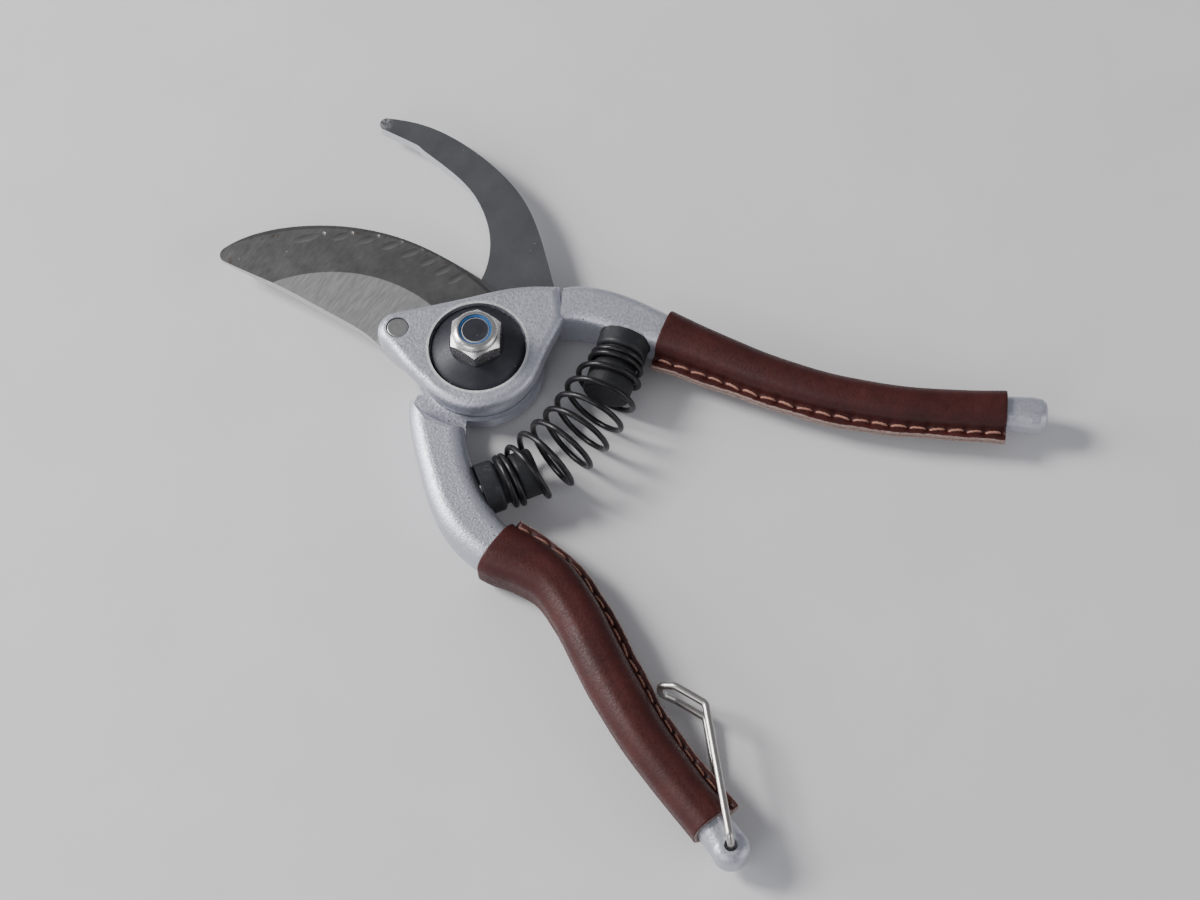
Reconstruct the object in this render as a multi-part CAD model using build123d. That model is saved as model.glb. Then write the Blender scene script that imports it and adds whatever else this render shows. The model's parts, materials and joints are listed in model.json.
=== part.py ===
"""Garden pruning shears lying open on their side, built as separate pieces.

Units are millimetres. The origin is on the pivot axis, in the plane the tool rests on:
+Z runs up the pivot bolt to the nut, +Y towards the jaws and -Y towards the grips.
"""
import os
from math import atan2, cos, degrees, hypot, pi, radians, sin

from build123d import *

# ---------------------------------------------------------------- heights of the pivot stack
BOLT_HEAD_H = 2.6            # low round bolt head, whose underside is the resting face
BOLT_WASHER_H = 1.0
SLAB_BOTTOM = 2.4            # underside of the lower handle's round head
SLAB_TOP = 6.4
HOOK_BOTTOM = 5.4            # counter blade, let 1 mm into the lower head
HOOK_TOP = 9.0
BLADE_BOTTOM = 9.15          # cutting blade, sliding just above the counter blade
BLADE_TOP = 12.0
HEAD_TOP = 16.5              # top of the upper handle's head
RECESS_FLOOR = 14.0
NUT_BASE = 18.7
NUT_HEIGHT = 8.0
NUT_AF = 13.0                # across the flats of an M8 nut
NYLON_R = 4.4
BOLT_END = 26.2
SLIDE_GAP = 0.1              # between faces that turn on each other

# ---------------------------------------------------------------- radii about the pivot
BOLT_R = 3.95
BUSH_R = 5.5
BUSH_FIT = 0.05              # running clearance on the bush
BOLT_HEAD_R = 7.5
BOLT_WASHER_R = 8.6
SLAB_R = 17.4
HOOK_BASE_R = 16.0
TANG_R = 15.2
HEAD_R = 17.8
RECESS_R = 13.2
DOME_R = 12.85
RIM_FILLET = 2.3
SHOULDER_R = 22.5            # step from the lower head up to the lower handle
BROW = 2.2                   # rounding of that step's upper edge
HOLLOW = 1.2                 # rounding at its foot
RECESS_BEVEL = 0.45          # bright bevel round the recess

# ---------------------------------------------------------------- handles and leather
BAR_H = 13.2                 # handle height at the head
LEATHER = 1.3
SKIN_GAP = 0.25              # between a handle and the leather round it
SEAM_H = 2.6                 # two layers of leather sewn flat together
THREAD_R = 0.42
STITCH_PITCH = 4.9
STITCH_L = 3.7
EYE_R = 4.8
EYE_H = 9.0
EYE_HOLE_R = 1.75

# ---------------------------------------------------------------- spring and bumpers
WIRE_R = 0.8
SPRING_Z = 10.2
BUMPER_FLANGE_R = 7.0
BUMPER_BODY_R = 6.45
BUMPER_GROOVE_R = 5.7
PEG_R = 2.0

# ---------------------------------------------------------------- locking clasp
CLASP_R = 1.0
CLASP_TOP = 15.6             # upper leg where it leaves the eye
CLASP_BOTTOM = 1.1
CLASP_NARROWING = 2.1        # how much nearer the middle each leg is at the far corner


def polar(radius, angle):
    """Point at a radius and an angle in degrees about the pivot."""
    return Vector(radius * cos(radians(angle)), radius * sin(radians(angle)))


def disc(radius, z0, z1, x=0.0, y=0.0):
    """Upright cylinder between two heights."""
    height = z1 - z0
    return Pos(x, y, (z0 + z1) / 2) * Cylinder(radius, height)


def slab_of(lines, z0, z1):
    """Closed outline extruded between two heights."""
    return Pos(0, 0, z0) * extrude(make_face(lines), z1 - z0)


def edges_at(part, z):
    """Flat edges lying at one height."""
    return [e for e in part.edges() if abs(e.center().Z - z) < 0.01
            and e.bounding_box().size.Z < 0.01]


# ================================================================ handle sections along a path
# Stations from the head to the tip: x, y, then width, height and corner radius of the bar.
UPPER_STATIONS = [
    (24.0, -10.4, 10.0, 15.2, 2.2),
    (29.4, -19.7, 11.3, 14.6, 2.3),
    (32.1, -30.1, 11.0, 13.9, 2.6),
    (34.6, -41.5, 9.0, BAR_H, 3.4),
    (36.9, -54.0, 7.9, 12.9, 3.6),
    (39.6, -67.0, 7.5, 12.3, 3.5),
    (43.4, -80.2, 7.2, 11.7, 3.4),
    (48.4, -92.8, 7.0, 11.1, 3.3),
    (54.4, -104.8, 7.1, 10.5, 3.3),
    (61.3, -116.2, 7.4, 9.9, 3.3),
    (66.9, -125.1, 8.0, 9.6, 3.2),
    (70.2, -130.8, 8.9, 9.2, 3.2),
]
LOWER_STATIONS = [
    (-13.2, 2.0, 14.4, BAR_H, 3.8),
    (-26.6, -6.6, 14.0, BAR_H, 4.2),
    (-35.2, -17.0, 14.0, BAR_H, 4.4),
    (-40.8, -27.1, 14.0, BAR_H, 4.4),
    (-42.8, -37.0, 12.8, BAR_H, 4.4),
    (-41.7, -46.0, 10.9, BAR_H, 4.0),
    (-42.1, -55.2, 9.6, 12.9, 3.8),
    (-45.9, -65.2, 9.6, 12.5, 3.8),
    (-51.4, -75.1, 9.6, 12.0, 3.8),
    (-56.8, -85.1, 9.5, 11.5, 3.8),
    (-62.1, -96.1, 9.1, 11.0, 3.6),
    (-66.4, -107.1, 8.7, 10.5, 3.6),
    (-69.9, -117.6, 8.3, 10.1, 3.5),
    (-72.6, -126.6, 8.9, 9.7, 3.5),
    (-75.2, -134.0, 9.6, 8.8, 3.4),
]
MID_Z = 8.35                 # mid height of both handles
UPPER_SLEEVE = (3, 10)       # stations between which each leather sleeve runs
LOWER_SLEEVE = (4, 13)
UPPER_SLEEVE_EXTRA = 4.5     # how far the sleeve runs on towards the head
LOWER_SLEEVE_EXTRA = 0.0


def tangents(stations):
    """Unit direction of the handle at every station."""
    result = []
    last = len(stations) - 1
    for i in range(last + 1):
        a = stations[max(i - 1, 0)]
        b = stations[min(i + 1, last)]
        dx, dy = b[0] - a[0], b[1] - a[1]
        length = hypot(dx, dy)
        result.append((dx / length, dy / length))
    return result


def section(station, direction, grow=0.0, shift=0.0, size=None):
    """Rounded rectangle standing across the handle at a station."""
    x, y, width, height, radius = station
    dx, dy = direction
    plane = Plane(origin=(x - dy * shift, y + dx * shift, MID_Z),
                  x_dir=(-dy, dx, 0), z_dir=(dx, dy, 0))
    if size:
        return plane * Rectangle(size[0], size[1])
    w = width + 2 * grow
    h = height + 2 * grow
    return plane * RectangleRounded(w, h, min(radius + grow, w / 2 - 0.3))


def between(stations, dirs, position):
    """Station and direction at a fractional index."""
    i = min(int(position), len(stations) - 2)
    t = position - i
    station = tuple(a + (b - a) * t for a, b in zip(stations[i], stations[i + 1]))
    dx = dirs[i][0] + (dirs[i + 1][0] - dirs[i][0]) * t
    dy = dirs[i][1] + (dirs[i + 1][1] - dirs[i][1]) * t
    n = hypot(dx, dy)
    return station, (dx / n, dy / n)


def stretched(stations, dirs, first, back):
    """Station a distance nearer the head than the first one of a sleeve."""
    here, before = stations[first], stations[first - 1]
    step = hypot(here[0] - before[0], here[1] - before[1])
    return between(stations, dirs, first - back / step)


def bar(stations, nose, split):
    """Handle bar lofted through its stations in two lengths that meet under the leather."""
    dirs = tangents(stations)
    sections = [section(s, d) for s, d in zip(stations, dirs)]
    body = loft(sections[:split + 1]) + loft(sections[split:])
    if nose:
        x, y, width, height, radius = stations[-1]
        dx, dy = dirs[-1]
        rounds = [(0.0, 0.0), (2.6, 0.5), (3.9, 2.2), (4.4, 4.4)]
        steps = [(x + dx * out, y + dy * out, width - less, height - less, radius - less / 4)
                 for out, less in rounds]
        for one, two in zip(steps, steps[1:]):
            body += loft([section(one, dirs[-1]), section(two, dirs[-1])], ruled=True)
    return body


def sleeve(stations, span, side, seam_out, back=0.0):
    """Leather tube sewn along one side: outer loft plus the flat seam, less the handle."""
    dirs = tangents(stations)
    first, last = span
    picks = list(zip(stations[first:last + 1], dirs[first:last + 1]))
    if back:
        picks[0] = stretched(stations, dirs, first, back)
    outer = loft([section(s, d, LEATHER + SKIN_GAP) for s, d in picks])
    ext = [between(stations, dirs, max(first - 1, 0))] + picks
    tail_station, tail_dir = picks[-1]
    beyond = (tail_station[0] + tail_dir[0] * 4, tail_station[1] + tail_dir[1] * 4,
              *tail_station[2:])
    ext.append((beyond, tail_dir))
    hollow = loft([section(s, d, SKIN_GAP) for s, d in ext])
    wide = seam_out + 2.4
    seam = loft([section(s, d, size=(wide, SEAM_H),
                         shift=side * (s[2] / 2 + SKIN_GAP + LEATHER + seam_out - wide / 2))
                 for s, d in picks])
    return (outer + seam) - hollow


def stitches(stations, span, side, seam_in, back=0.0):
    """Running stitches above and below the flat seam."""
    dirs = tangents(stations)
    first, last = span
    picks = list(zip(stations[first:last + 1], dirs[first:last + 1]))
    if back:
        picks[0] = stretched(stations, dirs, first, back)
    path = Spline(*[(s[0] - d[1] * side * (s[2] / 2 + SKIN_GAP + LEATHER + seam_in),
                     s[1] + d[0] * side * (s[2] / 2 + SKIN_GAP + LEATHER + seam_in),
                     MID_Z) for s, d in picks])
    count = int(path.length / STITCH_PITCH)
    start = (path.length - (count - 1) * STITCH_PITCH) / 2
    result = []
    for i in range(count):
        t = (start + i * STITCH_PITCH) / path.length
        p = path.position_at(t)
        d = path.tangent_at(t)
        turn = degrees(atan2(d.Y, d.X))
        for face in (1, -1):
            z = p.Z + face * (SEAM_H / 2 + THREAD_R + 0.08)
            rod = Rot(0, 90, 0) * Cylinder(THREAD_R, STITCH_L)
            rod = fillet(rod.edges().filter_by(GeomType.CIRCLE), THREAD_R * 0.6)
            result.append(Pos(p.X, p.Y, z) * Rot(0, 0, turn) * rod)
    return result


# ================================================================ upper handle
LOBE = Vector(-7.56, 21.19)
LOBE_R = 5.4
GROOVE_OUT = Vector(27.8, -7.0)
GROOVE_IN = Vector(20.3, -13.75)


def lobe_point(angle):
    return LOBE + Vector(LOBE_R * cos(radians(angle)), LOBE_R * sin(radians(angle)))


def head_outline():
    """Pear-shaped head: round at the pivot, a lobe for the rivet, a neck to the handle."""
    start = lobe_point(48)
    right = Spline(start, (5.0, 17.0), (13.6, 9.4), (21.2, 2.3), GROOVE_OUT,
                   tangents=((0.74, -0.67), (0.52, -0.85)))
    groove = Line(GROOVE_OUT, GROOVE_IN)
    neck = Spline(GROOVE_IN, (14.3, -15.0), polar(HEAD_R, -75),
                  tangents=((-0.94, -0.34), (-0.966, -0.259)))
    back = ThreePointArc(polar(HEAD_R, -75), polar(HEAD_R, -135), polar(HEAD_R, 166))
    left = Spline(polar(HEAD_R, 166), (-15.7, 12.0), lobe_point(170),
                  tangents=((0.242, 0.970), (0.174, 0.985)))
    top = ThreePointArc(lobe_point(170), lobe_point(109), start)
    return [right, groove, neck, back, left, top]


def upper_handle():
    plate = slab_of(head_outline(), BLADE_TOP + SLIDE_GAP, HEAD_TOP)
    plate = fillet(edges_at(plate, HEAD_TOP), RIM_FILLET)
    body = plate + bar(UPPER_STATIONS, nose=True, split=4)
    body -= disc(RECESS_R, RECESS_FLOOR, HEAD_TOP + 5)
    body -= Pos(0, 0, HEAD_TOP) * Cone(RECESS_R - RECESS_BEVEL, RECESS_R + RECESS_BEVEL,
                                       2 * RECESS_BEVEL)
    body -= disc(BUSH_R + BUSH_FIT, 0, HEAD_TOP)
    body -= disc(3.05, BLADE_TOP, HEAD_TOP + 1, LOBE.X, LOBE.Y)
    body -= bumper_seat(UPPER_BUMPER)
    return body - peg_hole(UPPER_BUMPER)


# ================================================================ lower handle
def shoulder_space():
    """Space above the lower head: its wall starts in a hollow and ends in a rounded brow."""
    top = MID_Z + BAR_H / 2
    r = SHOULDER_R
    outline = [Line((0, SLAB_TOP), (r - HOLLOW, SLAB_TOP)),
               ThreePointArc((r - HOLLOW, SLAB_TOP), (r - 0.3 * HOLLOW, SLAB_TOP + 0.3 * HOLLOW),
                             (r, SLAB_TOP + HOLLOW)),
               Line((r, SLAB_TOP + HOLLOW), (r, top - BROW)),
               ThreePointArc((r, top - BROW), (r + 0.3 * BROW, top - 0.3 * BROW),
                             (r + BROW, top + 0.03)),
               Line((r + BROW, top + 0.03), (r + BROW, 40)), Line((r + BROW, 40), (0, 40)),
               Line((0, 40), (0, SLAB_TOP))]
    return revolve(Plane.XZ * make_face(outline), Axis.Z)


def lower_handle():
    body = disc(SLAB_R, SLAB_BOTTOM, SLAB_TOP)
    body += bar(LOWER_STATIONS, nose=False, split=5)
    body -= shoulder_space()
    eye_x, eye_y = LOWER_STATIONS[-1][:2]
    eye_z = MID_Z
    eye = disc(EYE_R, eye_z - EYE_H / 2, eye_z + EYE_H / 2, eye_x, eye_y)
    body += fillet(eye.edges().filter_by(GeomType.CIRCLE), 2.4)
    body -= disc(EYE_HOLE_R, 0, 40, eye_x, eye_y)
    body -= slab_of(hook_outline(0.12), HOOK_BOTTOM, 30)
    body -= disc(BUSH_R, 0, 40)
    body -= disc(BOLT_WASHER_R + 0.2, -1, BOLT_HEAD_H + BOLT_WASHER_H)
    for x, y in HOOK_RIVETS:
        body -= disc(HOOK_RIVET_R, 0, 40, x, y)
    body -= bumper_seat(LOWER_BUMPER)
    return body - peg_hole(LOWER_BUMPER)


# ================================================================ blades
HOOK_RIVET_R = 2.3
HOOK_RIVETS = [tuple(polar(13.2, a))[:2] for a in (20, -50)]
GRIND_CENTRE = (-36.8, 24.1)     # the bevel is ground as a shallow cone about this axis
GRIND_R = 41.7
GRIND_SLOPE = 0.141
EDGE_CENTRE = (-44.7, 23.5)      # the narrow sharpening bevel follows this circle
EDGE_R = 64.35
EDGE_BEVEL = 1.1
EDGE_T = 0.35                    # thickness left along the edge
SCALLOPS = 8                     # shallow grinding marks along the bevel
SCALLOP_R = 2.3
SCALLOP_DEEP = 0.22


def hook_outline(grow=0.0):
    """Counter blade: round base at the pivot and a long curved hook."""
    base = HOOK_BASE_R + grow
    start = polar(base, 68)
    inner = Spline(start, (13.4, 13.5), (21.4, 14.3), (32.0, 20.0), (38.6, 28.2), (42.2, 38.6),
                   (43.7, 52.0), (42.7, 65.0),
                   tangents=((0.93, -0.37), (-0.13, 0.99)))
    tip = ThreePointArc((42.7, 65.0), (44.3, 66.9), (46.4, 65.7))
    outer = Spline((46.4, 65.7), (50.0, 57.0), (51.6, 43.5), (49.9, 29.0), (44.4, 15.0),
                   (35.2, 3.0), (29.2, -3.9),
                   tangents=((0.45, -0.89), (-0.66, -0.75)))
    shoulder = Line((29.2, -3.9), (21.6, -10.9))
    foot = Spline((21.6, -10.9), (15.6, -12.2), polar(base, -62),
                  tangents=((-0.75, -0.66), (-0.883, -0.469)))
    back = ThreePointArc(polar(base, -62), polar(base, 180), start)
    return [inner, tip, outer, shoulder, foot, back]


def counter_blade():
    body = slab_of(hook_outline(), HOOK_BOTTOM, HOOK_TOP)
    body -= disc(BUSH_R, 0, 40)
    for x, y in HOOK_RIVETS:
        body -= disc(HOOK_RIVET_R, 0, 40, x, y)
    return body


def blade_outline():
    """Cutting blade: bellied edge, nearly straight back, blunt tip and a round tang."""
    edge = Spline((-12.6, 77.9), (-2.4, 72.2), (6.3, 63.0), (13.0, 52.2), (17.5, 39.9),
                  (19.6, 24.0), (18.9, 7.0), polar(TANG_R, -14),
                  tangents=((0.95, -0.30), (-0.242, -0.970)))
    tang = ThreePointArc(polar(TANG_R, -14), polar(TANG_R, -100), polar(TANG_R, 165))
    back = Spline(polar(TANG_R, 165), (-14.3, 16.4), (-12.5, 27.0), (-12.7, 39.3), (-13.7, 53.6),
                  (-16.0, 75.3), tangents=((0.259, 0.966), (-0.08, 1.0)))
    tip = ThreePointArc((-16.0, 75.3), (-15.0, 77.4), (-12.6, 77.9))
    return [edge, tang, back, tip]


def turned_off(centre, points):
    """Ring of material outside a profile, turned about an upright axis."""
    return Pos(centre[0], centre[1], 0) * revolve(Plane.XZ * make_face(Polyline(*points, close=True)),
                                                  Axis.Z)


def on_bevel(x, y, lift):
    """Point a distance above the ground bevel, measured square to it."""
    dx, dy = x - GRIND_CENTRE[0], y - GRIND_CENTRE[1]
    r = hypot(dx, dy)
    normal = Vector(GRIND_SLOPE * dx / r, GRIND_SLOPE * dy / r, 1).normalized()
    return Vector(x, y, BLADE_TOP - GRIND_SLOPE * (r - GRIND_R)) + normal * lift


def scallop(i):
    """One round-bottomed grinding mark, deepest near the edge and running out inwards."""
    angle = radians(34.2 - 7.5 * i + 0.28 * i * i)
    r = EDGE_R - 1.0 - 2.0 * 0.65 ** i
    x, y = EDGE_CENTRE[0] + r * cos(angle), EDGE_CENTRE[1] + r * sin(angle)
    heading = radians(141 + 2.7 * i)
    length = 10.0 if i == 0 else 7.0
    start = on_bevel(x, y, SCALLOP_R - SCALLOP_DEEP)
    end = on_bevel(x + length * cos(heading), y + length * sin(heading), SCALLOP_R + 0.02)
    axis = Plane(origin=start, z_dir=end - start)
    reach = (end - start).length
    return axis * Pos(0, 0, reach / 2) * Cylinder(SCALLOP_R, reach) + axis * Sphere(SCALLOP_R)


def cutting_blade():
    body = slab_of(blade_outline(), BLADE_BOTTOM, BLADE_TOP)
    wide = 30
    grind = turned_off(GRIND_CENTRE, [(GRIND_R, BLADE_TOP), (GRIND_R + wide, BLADE_TOP + 1),
                                      (GRIND_R + wide, BLADE_TOP - GRIND_SLOPE * wide)])
    edge = turned_off(EDGE_CENTRE, [(EDGE_R - EDGE_BEVEL, BLADE_BOTTOM + 0.95),
                                    (EDGE_R + 0.1, BLADE_BOTTOM + EDGE_T),
                                    (EDGE_R + 9, BLADE_BOTTOM + EDGE_T),
                                    (EDGE_R + 9, BLADE_TOP), (EDGE_R - EDGE_BEVEL, BLADE_TOP)])
    keep = Pos(0, 45, 10) * Box(80, 75, 20)
    body -= grind & keep
    body -= edge & keep
    for i in range(SCALLOPS):
        body -= scallop(i)
    body -= disc(BUSH_R + BUSH_FIT, 0, 40)
    return body - disc(2.4, 0, 40, LOBE.X, LOBE.Y)


def blade_rivet():
    shank = disc(2.4, BLADE_BOTTOM, BLADE_TOP, LOBE.X, LOBE.Y)
    head = disc(2.85, BLADE_TOP, HEAD_TOP - 0.1, LOBE.X, LOBE.Y)
    head = fillet(head.edges().sort_by(Axis.Z)[-1], 0.35)
    return shank + head


def counter_blade_rivets():
    result = []
    for x, y in HOOK_RIVETS:
        rivet = disc(HOOK_RIVET_R, SLAB_BOTTOM, HOOK_TOP - 0.1, x, y)
        head = disc(3.5, SLAB_BOTTOM - 1.0, SLAB_BOTTOM, x, y)
        result.append(rivet + fillet(head.edges().sort_by(Axis.Z)[0], 0.7))
    return result


# ================================================================ pivot hardware
def pivot_bolt():
    head = disc(BOLT_HEAD_R, 0, BOLT_HEAD_H)
    head = chamfer(head.edges().sort_by(Axis.Z)[0], 0.5)
    for angle in (0, 180):
        p = polar(5.0, angle)
        head -= disc(1.0, -1, 1.4, p.X, p.Y)
    shank = disc(BOLT_R, BOLT_HEAD_H - 0.5, BOLT_END)
    shank = chamfer(shank.edges().sort_by(Axis.Z)[-1], 0.5)
    return head + shank


def ring(outer, inner, z0, z1):
    return disc(outer, z0, z1) - disc(inner, z0 - 1, z1 + 1)


def nut_washer():
    """Black domed washer filling the recess, with a bevelled rim."""
    z0 = RECESS_FLOOR + SLIDE_GAP
    bore = BOLT_R + 0.1
    outline = [Line((bore, z0), (DOME_R, z0)), Line((DOME_R, z0), (DOME_R, z0 + 0.9)),
               Line((DOME_R, z0 + 0.9), (DOME_R - 0.6, z0 + 1.4)),
               ThreePointArc((DOME_R - 0.6, z0 + 1.4), (10.2, 17.0), (7.4, NUT_BASE)),
               Line((7.4, NUT_BASE), (bore, NUT_BASE)), Line((bore, NUT_BASE), (bore, z0))]
    return revolve(Plane.XZ * make_face(outline), Axis.Z)


def pivot_nut():
    """Hexagon lock nut, bevelled at its top, with a rolled collar that holds the plastic ring."""
    hex_top = NUT_BASE + 5.9
    top = NUT_BASE + NUT_HEIGHT
    outer = NUT_AF / 2 / cos(pi / 6)
    body = Rot(0, 0, 33) * RegularPolygon(outer, 6)
    body = Pos(0, 0, NUT_BASE) * extrude(body, NUT_HEIGHT)
    wide = outer + 0.1
    collar = NUT_AF / 2 - 0.35
    shell = [Polyline((0, top), (0, NUT_BASE), (6.3, NUT_BASE), (wide, NUT_BASE + 0.7),
                      (wide, hex_top - 1.1), (collar + 0.15, hex_top), (collar, hex_top + 0.15)),
             ThreePointArc((collar, hex_top + 0.15), (collar - 0.45, top - 0.45),
                           (collar - 1.3, top)),
             Line((collar - 1.3, top), (0, top))]
    body &= revolve(Plane.XZ * make_face(shell), Axis.Z)
    body -= disc(BOLT_R + 0.04, 0, 40)
    return body - disc(NYLON_R + 0.05, hex_top + 0.2, 40)


# ================================================================ rubber bumpers, pegs and spring
# Each bumper: end-face centre x, y, the direction it points in degrees, and its length.
LOWER_BUMPER = (*tuple(polar(37.3, -119.6))[:2], -33.0, 15.4)
UPPER_BUMPER = (*tuple(polar(36.0, -74.3))[:2], -163.0, 17.9)
FLANGE_T = 5.0
GROOVE_T = 3.4
SEAT_DEEP = 6.0


def along(bumper, shape, distance):
    """Put a shape built on +Z onto a bumper's axis, a distance in from its back face."""
    x, y, angle, length = bumper
    back = Vector(x - length * cos(radians(angle)), y - length * sin(radians(angle)), SPRING_Z)
    plane = Plane(origin=back, x_dir=(0, 0, 1), z_dir=(cos(radians(angle)), sin(radians(angle)), 0))
    return plane * Pos(0, 0, distance) * shape


def bumper_seat(bumper):
    """Flat seat cut into a handle for a bumper's back face."""
    return along(bumper, Cylinder(BUMPER_FLANGE_R + 0.2, SEAT_DEEP), SEAT_DEEP / 2)


def peg_hole(bumper):
    return along(bumper, Cylinder(PEG_R, 7.0), -1.0)


def bumper_peg(bumper):
    peg = Cylinder(PEG_R, 9.0)
    return along(bumper, chamfer(peg.edges().filter_by(GeomType.CIRCLE), 0.4), 0.05)


def rubber_bumper(bumper):
    """Rubber plug: flange on the handle, a groove for the spring and a thick rounded nose."""
    length = bumper[3]
    g0 = FLANGE_T
    g1 = FLANGE_T + GROOVE_T
    full = g1 + 2.2
    flange, body, groove = BUMPER_FLANGE_R, BUMPER_BODY_R, BUMPER_GROOVE_R
    outline = [Line((0, 0), (flange, 0)), Line((flange, 0), (flange, g0 - 1.2)),
               ThreePointArc((flange, g0 - 1.2), (flange - 0.35, g0 - 0.35), (flange - 1.2, g0)),
               Line((flange - 1.2, g0), (groove, g0)), Line((groove, g0), (groove, g1)),
               Spline((groove, g1), (body, full), tangents=((0, 1), (0, 1))),
               Line((body, full), (body, length - 1.0)),
               ThreePointArc((body, length - 1.0), (body - 0.3, length - 0.3),
                             (body - 1.0, length)),
               Line((body - 1.0, length), (0, length)), Line((0, length), (0, 0))]
    plug = revolve(Plane.XZ * make_face(outline), Axis.Z)
    plug -= Cylinder(PEG_R, 9.2)
    return along(bumper, plug, 0)


def coil_spring():
    """Barrel spring on a bowed axis, its last turns closed round each bumper's groove."""
    a = seat_of(LOWER_BUMPER)
    b = seat_of(UPPER_BUMPER)
    axis = Spline(a[0], b[0], tangents=(a[1], -b[1]))
    tight = 1.6
    turns = 10.5
    steps = 12
    total = int(turns * steps)
    points = []
    for i in range(total + 1):
        n = i / steps
        m = turns - n
        closed = WIRE_R * 2.15 / axis.length
        free = (1 - 2 * tight * closed) / (turns - 2 * tight)
        t = closed * min(n, tight) + closed * (tight - min(m, tight)) * (m < tight)
        t += free * max(0.0, min(n, turns - tight) - tight)
        swell = min(1.0, max(0.0, (min(n, m) - tight * 0.6) / 2.4))
        swell = swell * swell * (3 - 2 * swell)
        radius = BUMPER_GROOVE_R + WIRE_R + 0.3 + swell * 2.4
        p = axis.position_at(min(max(t, 0.0), 1.0))
        d = axis.tangent_at(min(max(t, 0.0), 1.0))
        side = Vector(-d.Y, d.X, 0).normalized()
        points.append(p + side * (radius * cos(2 * pi * n)) + Vector(0, 0, radius * sin(2 * pi * n)))
    path = Spline(*points)
    start = Plane(origin=path.position_at(0), z_dir=path.tangent_at(0))
    return sweep(start * Circle(WIRE_R), path=path, is_frenet=True)


def seat_of(bumper):
    """Where the spring's end turn starts in a bumper's groove, and the direction there."""
    x, y, angle, length = bumper
    d = Vector(cos(radians(angle)), sin(radians(angle)), 0)
    return Vector(x, y, SPRING_Z) - d * (length - FLANGE_T - WIRE_R - 0.4), d


# ================================================================ locking clasp
CLASP_CORNER = Vector(-48.0, -107.5)
CLASP_KINK = Vector(-48.5, -98.4)
CLASP_TIP = Vector(-49.9, -94.7)
CLASP_BENDS = (1.2, 1.4, 2.0, 2.4, 3.0)     # bend radii from the eye to the far end


def locking_clasp():
    """Wire loop: one leg above and one below the handle's eye, closed at its far end."""
    eye = Vector(*LOWER_STATIONS[-1][:2])
    out = (CLASP_CORNER - eye).normalized()

    def leg(face, level):
        inside = MID_Z + face * (EYE_H / 2 - 3.0)
        far = level - face * CLASP_NARROWING
        bend = eye + out * 1.8
        return [(eye.X, eye.Y, inside), (eye.X, eye.Y, level - face * 1.6),
                (bend.X, bend.Y, level), (CLASP_CORNER.X, CLASP_CORNER.Y, far),
                (CLASP_KINK.X, CLASP_KINK.Y, far), (CLASP_TIP.X, CLASP_TIP.Y, far - face * 2.2)]

    route = leg(1, CLASP_TOP) + leg(-1, CLASP_BOTTOM)[::-1]
    path = FilletPolyline(*route, radius=list(CLASP_BENDS) + list(CLASP_BENDS)[::-1])
    start = Plane(origin=path.position_at(0), z_dir=path.tangent_at(0))
    return sweep(start * Circle(CLASP_R), path=path)


# ================================================================ export
UPPER_SIDE = -1              # side of each path on which the leather is sewn
LOWER_SIDE = 1
UPPER_SEAM_OUT = 3.0
LOWER_SEAM_OUT = 2.6


def build():
    nodes = {
        "upper_handle": upper_handle(),
        "lower_handle": lower_handle(),
        "cutting_blade": cutting_blade(),
        "counter_blade": counter_blade(),
        "blade_rivet": blade_rivet(),
        "counter_blade_rivets": Compound(counter_blade_rivets()),
        "pivot_bolt": pivot_bolt(),
        "bolt_washer": ring(BOLT_WASHER_R, BOLT_R + 0.1, BOLT_HEAD_H, BOLT_HEAD_H + BOLT_WASHER_H),
        "pivot_bush": ring(BUSH_R, BOLT_R + 0.05, BOLT_HEAD_H + BOLT_WASHER_H,
                           RECESS_FLOOR + SLIDE_GAP),
        "nut_washer": nut_washer(),
        "pivot_nut": pivot_nut(),
        "nut_nylon_insert": ring(NYLON_R, BOLT_R + 0.02, NUT_BASE + 6.15,
                                 NUT_BASE + NUT_HEIGHT - 0.35),
        "upper_bumper": rubber_bumper(UPPER_BUMPER),
        "lower_bumper": rubber_bumper(LOWER_BUMPER),
        "upper_bumper_peg": bumper_peg(UPPER_BUMPER),
        "lower_bumper_peg": bumper_peg(LOWER_BUMPER),
        "coil_spring": coil_spring(),
        "upper_grip_leather": sleeve(UPPER_STATIONS, UPPER_SLEEVE, UPPER_SIDE, UPPER_SEAM_OUT,
                                     UPPER_SLEEVE_EXTRA),
        "lower_grip_leather": sleeve(LOWER_STATIONS, LOWER_SLEEVE, LOWER_SIDE, LOWER_SEAM_OUT,
                                     LOWER_SLEEVE_EXTRA),
        "upper_stitching": Compound(stitches(UPPER_STATIONS, UPPER_SLEEVE, UPPER_SIDE, 0.9,
                                               UPPER_SLEEVE_EXTRA)),
        "lower_stitching": Compound(stitches(LOWER_STATIONS, LOWER_SLEEVE, LOWER_SIDE, 0.8)),
        "locking_clasp": locking_clasp(),
    }
    os.makedirs("parts", exist_ok=True)
    for name, shape in nodes.items():
        export_step(shape, f"parts/{name}.step")


build()
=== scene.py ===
"""Looks of the garden pruning shears: leather grips, stitching, spring, metals, light and camera.

The scene is in metres in the CAD frame. Dimensions of the soft pieces and the spring are written
in millimetres, as in the part's own source, and turned into metres when a mesh is made.
"""
import json
import math

import bpy
import numpy as np
from mathutils import Matrix, Vector


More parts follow.
